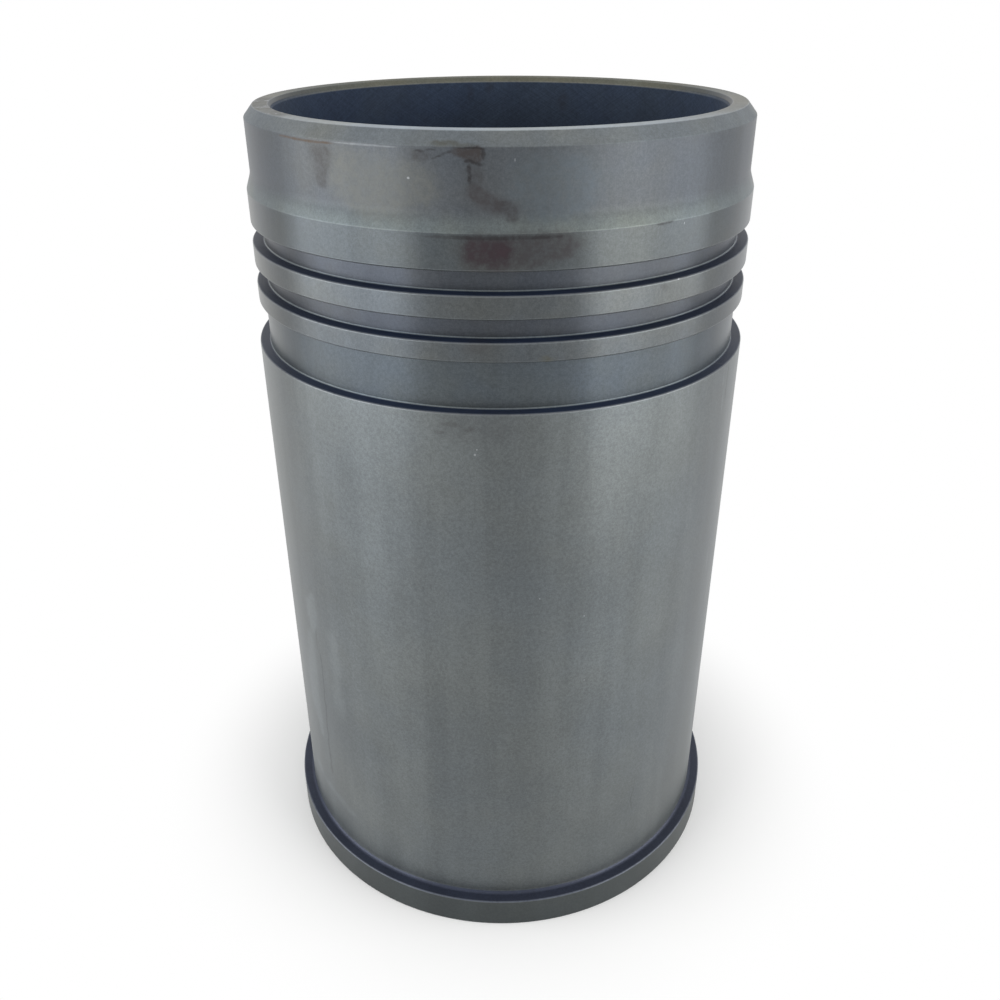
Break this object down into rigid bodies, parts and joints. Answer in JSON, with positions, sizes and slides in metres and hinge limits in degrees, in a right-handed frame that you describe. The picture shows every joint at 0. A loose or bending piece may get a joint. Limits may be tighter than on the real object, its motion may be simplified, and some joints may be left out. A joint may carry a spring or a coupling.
{
  "type": "cylinder liner",
  "caption": "Flanged wet cylinder liner with a honed bore, a lower pilot and seal grooves near the skirt end, turned from one iron casting.",
  "frame": {"origin": "centre of the deck face, the flange's end face that the liner stands on", "axes": "+Z along the bore axis, from the flange towards the skirt end; X and Y are free, because the part is round"},
  "size_m": [0.1948, 0.1948, 0.312],
  "materials": {
    "liner_iron": "dark satin grey phosphate-like skin over fine turning, with a honed bore and a few brown stains"
  },
  "bodies": {
    "root": {"cylinder_liner": "liner_iron"}
  },
  "joints": []
}
